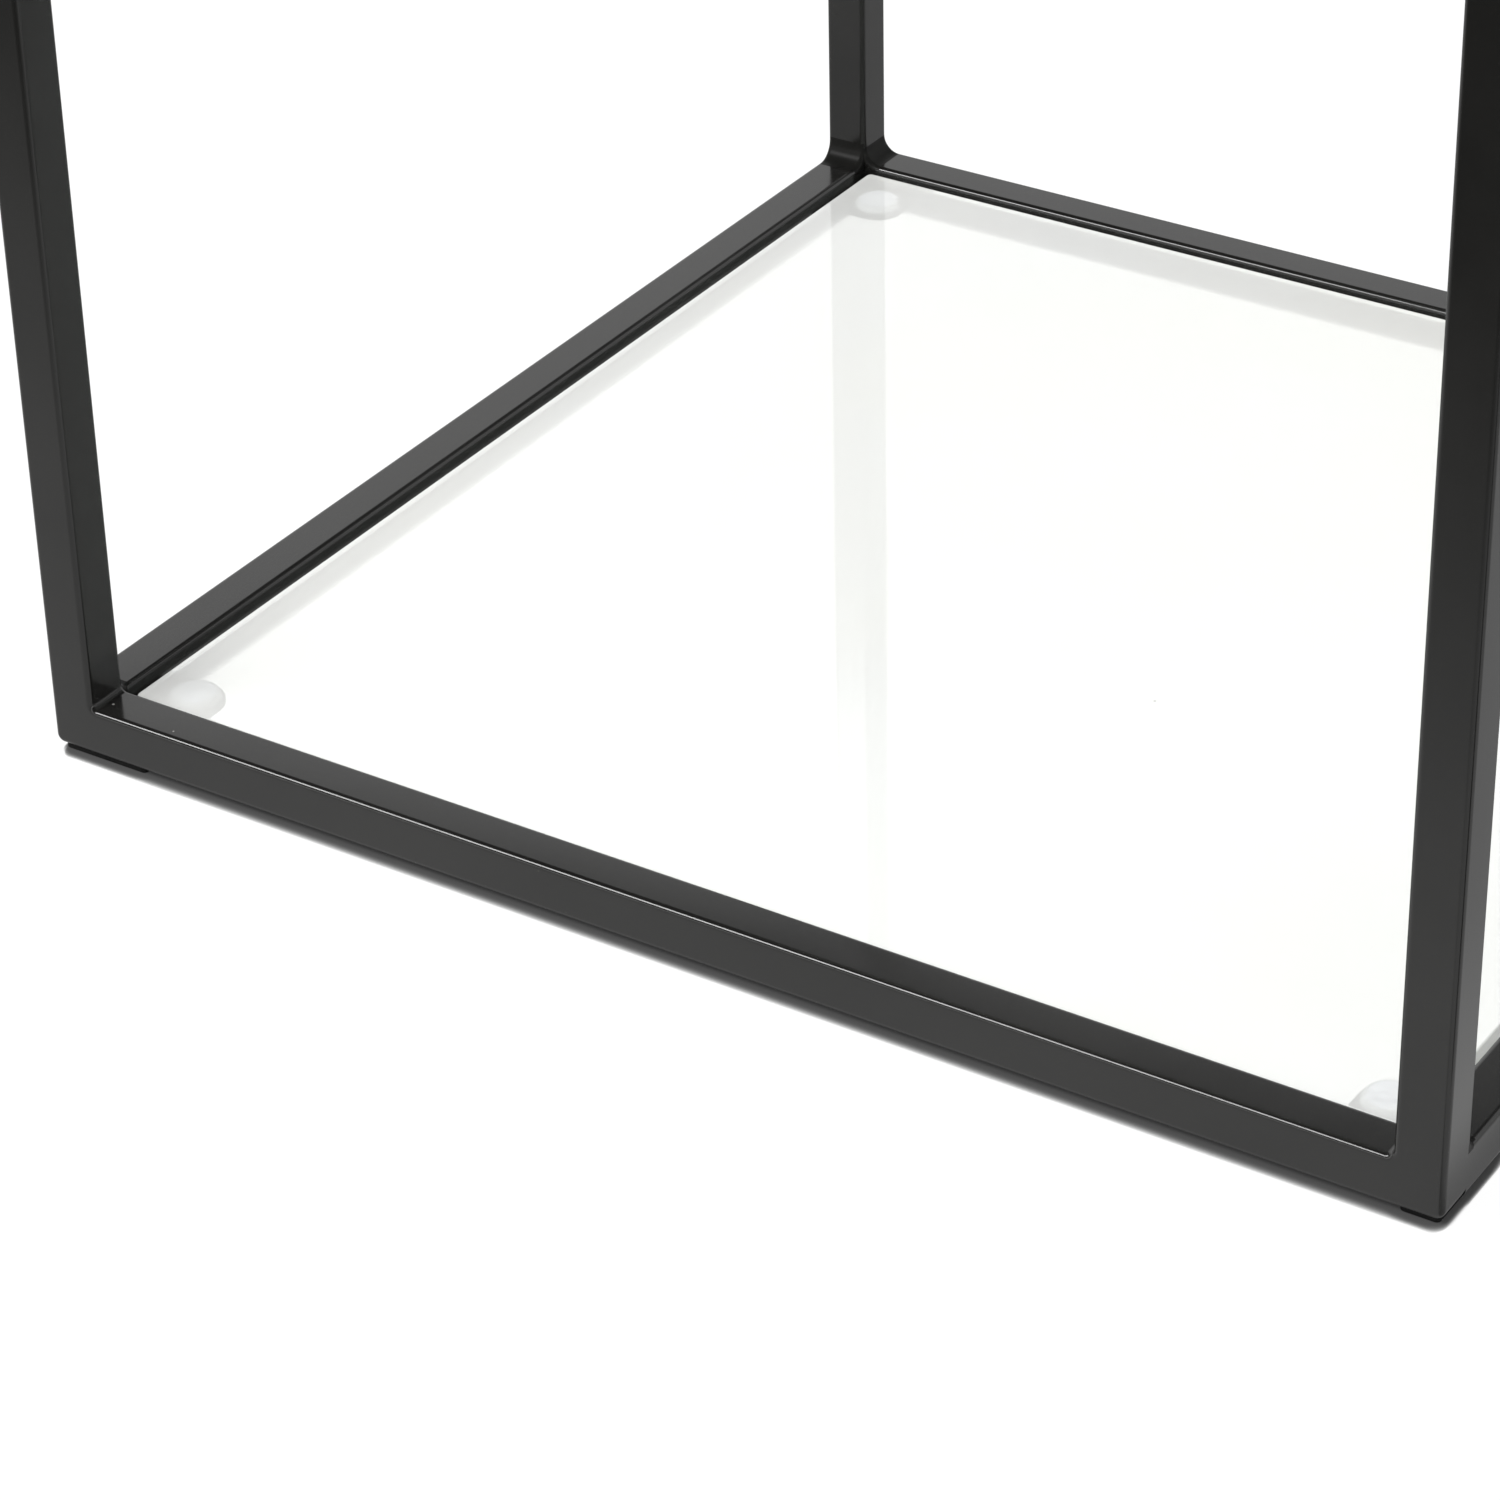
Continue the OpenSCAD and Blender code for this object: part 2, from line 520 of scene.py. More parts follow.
def grey(level: float) -> Colour:
    """A neutral colour of one level."""
    return (level, level, level, 1.0)


@dataclass
class SurfaceGroups:
    """Effects that several finishes share, each built once as a node group."""

    cloud_detail: float = 4.0
    cloud_roughness: float = 0.55
    cloud_spread: Ramp = Ramp(0.3, 0.7, 0.0, 1.0)
    ripple_detail: float = 2.0
    ripple_roughness: float = 0.5
    least_speck: float = 0.4
    level_face: float = 0.95

    def __post_init__(self) -> None:
        """Builds the groups."""
        self.mottle = self._mottle()
        self.specks = self._specks()

    @staticmethod
    def _group(
        name: str, numbers: Sequence[str], outputs: Sequence[str]
    ) -> tuple[NodeSheet, bpy.types.NodeOutputs, bpy.types.NodeInputs]:
        """Makes an empty group with a place, numbers and number outputs.

        Args:
            name: name of the group.
            numbers: names of its number inputs.
            outputs: names of its outputs.

        Returns:
            Its node sheet, what it is given and what it puts out, by name.
        """
        tree = bpy.data.node_groups.new(name, "ShaderNodeTree")
        sheet = NodeSheet(tree)
        tree.interface.new_socket("Vector", in_out="INPUT", socket_type="NodeSocketVector")
        for way, labels in (("INPUT", numbers), ("OUTPUT", outputs)):
            for label in labels:
                tree.interface.new_socket(label, in_out=way, socket_type="NodeSocketFloat")
        return sheet, sheet.add("NodeGroupInput").outputs, sheet.add("NodeGroupOutput").inputs

    def _mottle(self) -> bpy.types.NodeTree:
        """Slow cloudiness of a surface, and the fine ripple of its skin.

        Returns:
            The group.
        """
        sheet, given, taken = self._group(
            "coat_mottle", ("Cloud Scale", "Ripple Scale"), ("Cloud", "Ripple")
        )
        clouds = {"Detail": self.cloud_detail, "Roughness": self.cloud_roughness}
        ripples = {"Detail": self.ripple_detail, "Roughness": self.ripple_roughness}
        cloud, ripple = (
            sheet.add("ShaderNodeTexNoise", {"Vector": given["Vector"], "Scale": given[scale], **noise})
            for scale, noise in (("Cloud Scale", clouds), ("Ripple Scale", ripples))
        )
        sheet.feed(taken["Cloud"], sheet.ramp(cloud.outputs["Fac"], self.cloud_spread))
        sheet.feed(taken["Ripple"], ripple.outputs["Fac"])
        return sheet.tree

    def _specks(self) -> bpy.types.NodeTree:
        """Few small specks of dust that lie on faces that look up.

        Returns:
            The group.
        """
        sheet, given, taken = self._group("dust_specks", ("Scale", "Share", "Size"), ("Mask",))
        cells = sheet.add("ShaderNodeTexVoronoi", {"Vector": given["Vector"], "Scale": given["Scale"]})
        random = sheet.add("ShaderNodeSeparateColor", {"Color": cells.outputs["Color"]}).outputs
        chosen = sheet.math("LESS_THAN", random["Red"], given["Share"])
        reach = sheet.math("MULTIPLY", given["Size"], sheet.math("ADD", random["Green"], self.least_speck))
        near = sheet.math("LESS_THAN", cells.outputs["Distance"], reach)
        normal = sheet.add("ShaderNodeNewGeometry").outputs["True Normal"]
        up = sheet.add("ShaderNodeSeparateXYZ", {"Vector": normal}).outputs["Z"]
        level = sheet.math("GREATER_THAN", up, self.level_face)
        sheet.feed(taken["Mask"], sheet.product(chosen, near, level))
        return sheet.tree


@dataclass(frozen=True)
class Ripple:
    """Fine ripple of a skin."""

    scale: float
    strength: float
    depth: float


@dataclass(frozen=True)
class Dust:
    """Specks of dust: their shade, how close they may lie, how many do and how wide they are."""

    shade: Colour
    scale: float
    share: float
    size: float


@dataclass(frozen=True)
class Finish:
    """A finish that makes one material, slightly cloudy in colour and gloss."""

    name: str
    slot: Slot
    shade: Colour
    pale_shade: Colour
    cloud_scale: float
    least_roughness: float
    most_roughness: float
    ior: float
    clearness: float = 0.0
    ripple: Ripple | None = None
    dust: Dust | None = None

    def build(self, groups: SurfaceGroups) -> bpy.types.Material:
        """Makes the material.

        Args:
            groups: the shared effects.

        Returns:
            The material.
        """
        material = bpy.data.materials.new(self.name)
        material.use_nodes = True
        sheet = NodeSheet(material.node_tree)
        place = sheet.add("ShaderNodeTexCoord").outputs["Object"]
        clouds = {"Vector": place, "Cloud Scale": self.cloud_scale}
        mottle = sheet.add("ShaderNodeGroup", clouds, node_tree=groups.mottle)
        cloud = mottle.outputs["Cloud"]
        inputs = {
            "Base Color": sheet.mix(cloud, self.shade, self.pale_shade),
            "Roughness": sheet.ramp(cloud, Ramp(0.0, 1.0, self.least_roughness, self.most_roughness)),
            "IOR": self.ior,
            "Transmission Weight": self.clearness,
        }
        if self.dust:
            spread = {"Scale": self.dust.scale, "Share": self.dust.share, "Size": self.dust.size}
            specks = sheet.add("ShaderNodeGroup", {"Vector": place, **spread}, node_tree=groups.specks)
            inputs["Base Color"] = sheet.mix(specks.outputs["Mask"], inputs["Base Color"], self.dust.shade)
        if self.ripple:
            sheet.feed(mottle.inputs["Ripple Scale"], self.ripple.scale)
            relief = {"Strength": self.ripple.strength, "Distance": self.ripple.depth}
            bump = sheet.add("ShaderNodeBump", {"Height": mottle.outputs["Ripple"], **relief})
            inputs["Normal"] = bump.outputs["Normal"]
        sheet.add("ShaderNodeOutputMaterial", {"Surface": self.surface(sheet, inputs)})
        return material

    def surface(self, sheet: NodeSheet, inputs: dict[str, object]) -> Socket:
        """Makes the shader.

        Args:
            sheet: the material's node sheet.
            inputs: the shader's values and output sockets, by name.

        Returns:
            The shader.
        """
        return sheet.add("ShaderNodeBsdfPrincipled", inputs).outputs["BSDF"]


@dataclass(frozen=True)
class PowderCoat(Finish):
    """Satin black powder coat with a fine ripple and a little dust."""

    shade: Colour = (0.0100, 0.0099, 0.0092, 1.0)
    pale_shade: Colour = (0.0140, 0.0138, 0.0129, 1.0)
    cloud_scale: float = 14.0
    least_roughness: float = 0.14
    most_roughness: float = 0.18
    ior: float = 1.5
    ripple: Ripple = Ripple(scale=420.0, strength=0.35, depth=0.01 * MM)
    dust: Dust = Dust((0.30, 0.30, 0.29, 1.0), scale=80.0, share=0.25, size=0.03)


@dataclass(frozen=True)
class PaleGlass(Finish):
    """Clear float glass with a painted glow that stands for the pale veil its white surroundings give it.
    """

    shade: Colour = (0.990, 0.992, 0.982, 1.0)
    pale_shade: Colour = (0.994, 0.992, 0.966, 1.0)
    cloud_scale: float = 9.0
    least_roughness: float = 0.015
    most_roughness: float = 0.035
    ior: float = 1.5
    clearness: float = 0.60
    dust: Dust = Dust((0.62, 0.62, 0.60, 1.0), scale=26.0, share=0.09, size=0.012)
    # Painted glow: the pane glows faintly in its own colour, though it is no lamp
    painted_glow: float = 0.166
    # Painted reflection: the pane's colour where it is seen in a reflection
    painted_reflection_shade: Colour = (0.29, 0.30, 0.29, 1.0)
    shadow_shade: Colour = (0.985, 0.995, 0.990, 1.0)
    shadow_clearness: float = 0.93

    def surface(self, sheet: NodeSheet, inputs: dict[str, object]) -> Socket:
        """Makes glass with a painted glow and a colour painted darker where it is seen in reflections,
        which casts hardly a shadow.

        Args:
            sheet: the material's node sheet.
            inputs: the shader's values and output sockets, by name.

        Returns:
            The shader.
        """
        # Painted reflection and glow: seen in a reflection the pane's colour drops to a grey, and that
        # colour also glows faintly
        path = sheet.add("ShaderNodeLightPath").outputs
        colour = sheet.mix(path["Is Glossy Ray"], inputs["Base Color"], self.painted_reflection_shade)
        painted_glow_inputs = {"Base Color": colour, "Emission Color": colour, "Emission Strength": self.painted_glow}
        glass = super().surface(sheet, {**inputs, **painted_glow_inputs})
        through = sheet.add("ShaderNodeBsdfTransparent", {"Color": self.shadow_shade})
        share = sheet.math("MULTIPLY", path["Is Shadow Ray"], self.shadow_clearness)
        return sheet.shaders("ShaderNodeMixShader", glass, through.outputs["BSDF"], Fac=share)


@dataclass(frozen=True)
class ClearSilicone(Finish):
    """Soft clear silicone with a cool cast."""

    shade: Colour = (0.90, 0.92, 0.97, 1.0)
    pale_shade: Colour = (0.95, 0.965, 0.985, 1.0)
    cloud_scale: float = 120.0
    least_roughness: float = 0.16
    most_roughness: float = 0.30
    ior: float = 1.41
    clearness: float = 0.33
    ripple: Ripple = Ripple(scale=900.0, strength=0.3, depth=0.02 * MM)


@dataclass(frozen=True)
class FootRubber(Finish):
    """Dull black rubber with a fine grain."""

    shade: Colour = (0.0040, 0.0040, 0.0040, 1.0)
    pale_shade: Colour = (0.0080, 0.0080, 0.0078, 1.0)
    cloud_scale: float = 160.0
    least_roughness: float = 0.62
    most_roughness: float = 0.80
    ior: float = 1.25
    ripple: Ripple = Ripple(scale=2600.0, strength=0.6, depth=0.05 * MM)


class Paintshop:
    """Keeps one material of each finish and dresses pieces with them."""

    def __init__(self) -> None:
        """Builds all finishes."""
        groups = SurfaceGroups()
        finishes = (
            PowderCoat("satin_black_coat", Slot.FRAME),
            PaleGlass("pale_float_glass", Slot.GLASS),
            ClearSilicone("clear_silicone", Slot.CLEAR),
            FootRubber("black_rubber", Slot.FOOT),
        )
        self.materials = {finish.slot: finish.build(groups) for finish in finishes}
        # Ground welds take the coat duller than drawn tube
        weld_coat = PowderCoat(
            "coat_on_dressed_welds", Slot.FRAME, least_roughness=0.34, most_roughness=0.42, ior=1.18
        )
        self.weld_coat = weld_coat.build(groups)

    def dress(self, piece: bpy.types.Object, slot: Slot, body: Body, nodes: Sequence[str]) -> None:
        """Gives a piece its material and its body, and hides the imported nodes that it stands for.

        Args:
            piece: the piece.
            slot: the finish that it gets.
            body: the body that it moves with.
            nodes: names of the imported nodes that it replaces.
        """
        piece.data.materials.clear()
        piece.data.materials.append(self.materials[slot])
        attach(piece, body.value)
        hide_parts(*nodes)
        log.info("%s on %s, %d faces", piece.name, body.value, len(piece.data.polygons))


# ---------------------------------------------------------------- pieces of a table


@dataclass
class TubeFrame:
    """The welded tubes of one table.

    The front and the back are each one closed ring of two legs and two long rails. Cross rails join
    the rings: their ends sink in by the width of the tube's rounding, so that the flats run on
    without a seam.
    """

    prefix: str
    legs: dict[str, Sequence[str]]
    edge: Rounding = Rounding(1.8 * MM, 6)
    corner: Rounding = Rounding(2.8 * MM, 8)
    front_weld_radius: float = 2.0 * MM
    back_weld_radius: float = 6.0 * MM
    weld_steps: int = 10
    # A weld stands this far proud of the tubes' flats, and stays this far within their sides
    weld_skin: float = 0.008 * MM
    # Its root lies this much deeper than the tube's rounding
    weld_root: float = 0.05 * MM
    # Its tails run this far past its arc
    weld_tail: float = 1.5 * MM

    def node(self, name: str) -> str:
        """Full name of one of this table's nodes."""
        return f"{self.prefix}_{name}"

    def tube_width(self) -> float:
        """Outside width of the tube."""
        low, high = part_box(self.node("top_rail_front"))
        return high.z - low.z

    def ring_nodes(self, side: str) -> list[str]:
        """Names of the nodes of the ring at the front or the back."""
        return [self.node(name) for name in (*self.legs[side], f"base_rail_{side}", f"top_rail_{side}")]

    def ring_box(self, side: str) -> tuple[Vector, Vector]:
        """Lowest and highest corner of the ring at the front or the back.

        Args:
            side: "front" or "back".

        Returns:
            The two corners.
        """
        boxes = [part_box(name) for name in self.ring_nodes(side)]
        low = Vector(min(box[0][i] for box in boxes) for i in range(3))
        high = Vector(max(box[1][i] for box in boxes) for i in range(3))
        return low, high

    def weld_radius(self, side: str) -> float:
        """Radius of the dressed welds at the front or at the back."""
        return self.front_weld_radius if side == "front" else self.back_weld_radius

    def ring(self, side: str) -> bpy.types.Object:
        """Models the closed ring of legs and long rails at the front or the back.

        Args:
            side: "front" or "back".

        Returns:
            The ring.
        """
        low, high = self.ring_box(side)
        tube = self.tube_width()
        inset = Vector((tube, 0, tube))
        inner_corner = Rounding(self.weld_radius(side), self.corner.steps)
        outer = Bench.outline(low, high, self.corner)
        inner = Bench.outline(low + inset, high - inset, inner_corner)
        piece = Bench.ring(self.node(f"{side}_frame_welded"), outer, inner, high.y - low.y)
        Bench.bevel(piece, is_hard, self.edge)
        Bench.smooth(piece)
        return piece

    def cross_rail(self, name: str) -> bpy.types.Object:
        """Models a rail from front to back that sinks into the roundings of the two rings.

        Args:
            name: name of the rail's node.

        Returns:
            The rail.
        """
        low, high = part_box(name)
        sink = Vector((0, self.edge.radius, 0))
        piece = Bench.block(f"{name}_tube", low - sink, high + sink)
        Bench.bevel(piece, runs_along(Axis.Y), self.edge)
        Bench.smooth(piece)
        return piece

    def weld(self, radius: float) -> bpy.types.Object:
        """Models one dressed weld, in the corner between the +X and +Z directions.

        Its arc runs out into short flat tails that lie on the tubes.

        Args:
            radius: radius of its arc.

        Returns:
            The weld, about the origin.
        """
        half = self.tube_width() / 2 - self.weld_skin
        sink = self.edge.radius + self.weld_root
        end = radius + self.weld_tail
        piece = Bench.block("weld", Vector((-sink, -half, -sink)), Vector((self.weld_skin, half, end)))
        Bench.pick(piece, "FACE", lambda face: True)
        bpy.ops.mesh.bisect(plane_co=(0, 0, self.weld_skin), plane_no=(0, 0, 1))
        Bench.leave()
        Bench.pick(
            piece, "FACE", lambda face: face.normal.x > STRAIGHT and face.calc_center_median().z < 0
        )
        bpy.ops.mesh.extrude_region_move(TRANSFORM_OT_translate={"value": (end - self.weld_skin, 0, 0)})
        Bench.leave()
        bare = Vector((self.weld_skin, self.weld_skin))

        def inner_corner(edge: bmesh.types.BMEdge) -> bool:
            """Whether the edge is the bare inner corner."""
            return all((vert.co.xz - bare).length < WELD_DISTANCE for vert in edge.verts)

        def on_side(edge: bmesh.types.BMEdge) -> bool:
            """Whether the edge borders the arc or a tail on either side of the tube.

            Args:
                edge: the edge.

            Returns:
                True on such an edge.
            """
            a, b = (vert.co for vert in edge.verts)
            same_side = abs(a.y - b.y) < WELD_DISTANCE
            return same_side and all(
                min(spot.x, spot.z) > bare.x - WELD_DISTANCE and (spot.x < end or spot.z < end)
                for spot in (a, b)
            )

        Bench.bevel(piece, inner_corner, Rounding(radius, self.weld_steps))
        Bench.bevel(piece, on_side, self.edge)
        Bench.smooth(piece)
        return piece

    def welds(self, base_cross_sides: Sequence[int]) -> bpy.types.Object:
        """Models the dressed welds between the cross rails and the legs.

        Args:
            base_cross_sides: signs of the X sides that have a cross rail at the base.

        Returns:
            All welds as one piece.
        """
        low = self.ring_box("front")[0]
        high = self.ring_box("back")[1]
        base_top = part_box(self.node("base_rail_front"))[1].z
        tube = self.tube_width()
        top_under = high.z - tube
        middle = (low.x + high.x) / 2
        to_leg = (high.x - low.x - tube) / 2
        levels = ((base_top, 0.0, base_cross_sides), (top_under, math.pi, (-1, 1)))
        pieces = []
        for side, y, turn in (("front", low.y + tube, math.pi / 2), ("back", high.y - tube, -math.pi / 2)):
            places = [
                self._turned(Vector((middle + x_side * to_leg, y, level)), turn, flip)
                for level, flip, x_sides in levels
                for x_side in x_sides
            ]
            pieces.append(Bench.copies(self.weld(self.weld_radius(side)), f"welds_{side}", places))
        return Bench.joined(pieces, self.node("weld_fillets_dressed"))

    @staticmethod
    def _turned(corner: Vector, turn: float, flip: float) -> Matrix:
        """Place of a weld: flipped about X, turned about Z, then moved to its corner."""
        return (
            Matrix.Translation(corner) @ Matrix.Rotation(turn, 4, "Z") @ Matrix.Rotation(flip, 4, "X")
        )


@dataclass
class Table:
    """One table of the nest.

    Its cross rails are given by name, each with the sign of the X side that it lies on.
    """

    body: Body
    prefix: str
    shop: Paintshop
    legs: dict[str, Sequence[str]]
    base_cross_rails: dict[str, int]
    top_cross_rails: dict[str, int]
    levels: Sequence[str]
    pane_corner: Rounding = Rounding(2.0 * MM, 6)
    pane_arris: Rounding = Rounding(0.7 * MM, 3)
    bumper_radius: float = 8.0 * MM
    bumper_sides: int = 48
    bumper_dome: Rounding = Rounding(1.6 * MM, 6)
    tab_margin: float = 1.0 * MM
    tab_corner: Rounding = Rounding(9.0 * MM, 10)
    plate_arris: Rounding = Rounding(0.35 * MM, 2)
    foot_corner: Rounding = Rounding(1.5 * MM, 5)
    foot_arris: Rounding = Rounding(0.4 * MM, 3)

    def __post_init__(self) -> None:
        """Prepares the maker of the tubes."""
        self.tubes = TubeFrame(self.prefix, self.legs)

    def node(self, name: str) -> str:
        """Full name of one of this table's nodes."""
        return self.tubes.node(name)

    def dress(self, piece: bpy.types.Object, slot: Slot, *nodes: str) -> None:
        """Dresses a piece of this table.

        Args:
            piece: the piece.
            slot: the finish that it gets.
            nodes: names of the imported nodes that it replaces.
        """
        self.shop.dress(piece, slot, self.body, nodes)

    def build(self) -> None:
        """Builds and dresses every piece of the table."""
        self._rings()
        self._cross_rails()
        self._welds()
        for level in self.levels:
            self._tabs(level)
            self._bumpers(level)
            self._pane(level)
        self._feet()

    def _rings(self) -> None:
        """Builds the front and the back ring of legs and long rails."""
        for side in self.legs:
            piece = self.tubes.ring(side)
            self.dress(piece, Slot.FRAME, *self.tubes.ring_nodes(side))
            if side == "back":
                self._coat_inner_corners(piece, *self.tubes.ring_box(side))

    def _coat_inner_corners(self, piece: bpy.types.Object, low: Vector, high: Vector) -> None:
        """Gives the wide ground welds in a ring's inner corners their duller coat.

        Args:
            piece: the ring.
            low: its lowest corner.
            high: its highest corner.
        """
        piece.data.materials.append(self.shop.weld_coat)
        middle = (low + high) / 2
        for face in piece.data.polygons:
            inward = middle - face.center
            slanted = min(abs(face.normal.x), abs(face.normal.z)) > LEAST_SLANT
            if slanted and face.normal.x * inward.x > 0 and face.normal.z * inward.z > 0:
                face.material_index = 1

    def _cross_rails(self) -> None:
        """Builds the rails from front to back."""
        for level, sides in (("base", self.base_cross_rails), ("top", self.top_cross_rails)):
            for side in sides:
                name = self.node(f"{level}_rail_{side}")
                self.dress(self.tubes.cross_rail(name), Slot.FRAME, name)

    def _welds(self) -> None:
        """Builds the dressed welds of the cross rails."""
        piece = self.tubes.welds(list(self.base_cross_rails.values()))
        self.dress(piece, Slot.FRAME, self.node("weld_fillets"))
        piece.data.materials[0] = self.shop.weld_coat

    def _tabs(self, level: str) -> None:
        """Builds the steel tabs that carry the clear pads at one level.

        Args:
            level: "shelf" or "top".
        """
        name = self.node(f"{level}_tabs")
        low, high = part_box(name)
        bumper_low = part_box(self.node(f"{level}_bumpers"))[0]
        reach = (bumper_low.x - low.x) + 2 * self.bumper_radius + self.tab_margin
        pieces = []
        for x_side in (-1, 1):
            for y_side in (-1, 1):
                corner = Vector((low.x if x_side < 0 else high.x, low.y if y_side < 0 else high.y, 0))
                free = corner - Vector((x_side * reach, y_side * reach, 0))
                a = Vector((min(corner.x, free.x), min(corner.y, free.y), low.z))
                b = Vector((max(corner.x, free.x), max(corner.y, free.y), high.z))
                tab = Bench.block("tab", a, b)

                def free_corner(edge: bmesh.types.BMEdge, at: Vector = free) -> bool:
                    """Whether the edge is the upright one at the free corner."""
                    spot = edge.verts[0].co
                    return runs_along(Axis.Z)(edge) and (spot.xy - at.xy).length < WELD_DISTANCE

                Bench.bevel(tab, free_corner, self.tab_corner)
                Bench.bevel(tab, is_hard, self.plate_arris)
                Bench.smooth(tab)
                pieces.append(tab)
        self.dress(Bench.joined(pieces, f"{name}_plates"), Slot.FRAME, name)

    def _bumpers(self, level: str) -> None:
        """Builds the clear pads under one pane.

        Args:
            level: "shelf" or "top".
        """
        name = self.node(f"{level}_bumpers")
        low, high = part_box(name)
        height = high.z - low.z
        pattern = Bench.disc("pad", Vector(), self.bumper_radius, height, self.bumper_sides)
        Bench.bevel(pattern, rim_at(height), self.bumper_dome)
        Bench.bevel(pattern, rim_at(0), self.plate_arris)
        Bench.smooth(pattern)
        inset = self.bumper_radius
        places = [
            Matrix.Translation((x, y, low.z))
            for x in (low.x + inset, high.x - inset)
            for y in (low.y + inset, high.y - inset)
        ]
        self.dress(Bench.copies(pattern, f"{name}_domed", places), Slot.CLEAR, name)

    def _pane(self, level: str) -> None:
        """Builds one pane with rounded corners and ground edges.

        Args:
            level: "shelf" or "top".
        """
        name = self.node(f"{level}_glass")
        piece = Bench.block(f"{name}_pane", *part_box(name))
        Bench.bevel(piece, runs_along(Axis.Z), self.pane_corner)
        Bench.bevel(piece, is_hard, self.pane_arris)
        Bench.smooth(piece)
        self.dress(piece, Slot.GLASS, name)

    def _feet(self) -> None:
        """Builds the pads under the frame's corners."""
        name = self.node("foot_pads")
        pieces = []
        for low, high in self._islands(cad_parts[name].data):
            pad = Bench.block("pad", low, high)
            Bench.bevel(pad, runs_along(Axis.Z), self.foot_corner)
            Bench.bevel(pad, is_hard, self.foot_arris)
            Bench.smooth(pad)
            pieces.append(pad)
        self.dress(Bench.joined(pieces, f"{name}_moulded"), Slot.FOOT, name)

    @staticmethod
    def _islands(mesh: bpy.types.Mesh) -> list[tuple[Vector, Vector]]:
        """Boxes of the four separate solids of a node, one in each corner.

        Args:
            mesh: the node's mesh.

        Returns:
            Lowest and highest corner of each solid.
        """
        spots = [vert.co for vert in mesh.vertices]
        middle = sum(spots, Vector()) / len(spots)
        boxes = []
        for x_side in (-1, 1):
            for y_side in (-1, 1):
                own = [
                    p for p in spots if (p.x - middle.x) * x_side > 0 and (p.y - middle.y) * y_side > 0
                ]
                low = Vector(min(p[i] for p in own) for i in range(3))
                high = Vector(max(p[i] for p in own) for i in range(3))
                boxes.append((low, high))
        return boxes


# ---------------------------------------------------------------- studio


@dataclass(frozen=True)
class Camera:
    """The camera: where it stands, where it looks and its lens."""

    place: tuple[float, float, float] = (0.3443, -1.1419, 0.7625)
    turn: float = math.radians(33.35)
    tilt: float = math.radians(31.92)
    roll: float = math.radians(-1.331)
    lens: float = 118.1
    sensor: float = 36.0
    nearest: float = 0.01
    farthest: float = 100.0

    def build(self) -> None:
        """Makes the camera and sets it as the scene's."""
        data = bpy.data.cameras.new("camera")
        data.lens, data.sensor_width = self.lens, self.sensor
        data.clip_start, data.clip_end = self.nearest, self.farthest
        camera = bpy.data.objects.new("camera", data)
        way = (
            Matrix.Rotation(self.turn, 4, "Z")
            @ Matrix.Rotation(math.pi / 2 - self.tilt, 4, "X")
            @ Matrix.Rotation(self.roll, 4, "Z")
        )
        camera.matrix_world = Matrix.Translation(self.place) @ way
        bpy.context.scene.collection.objects.link(camera)
        bpy.context.scene.camera = camera


def climb(degrees: float) -> float:
    """Height of the tip of a direction of unit length that climbs by an angle."""
    return math.sin(math.radians(degrees))


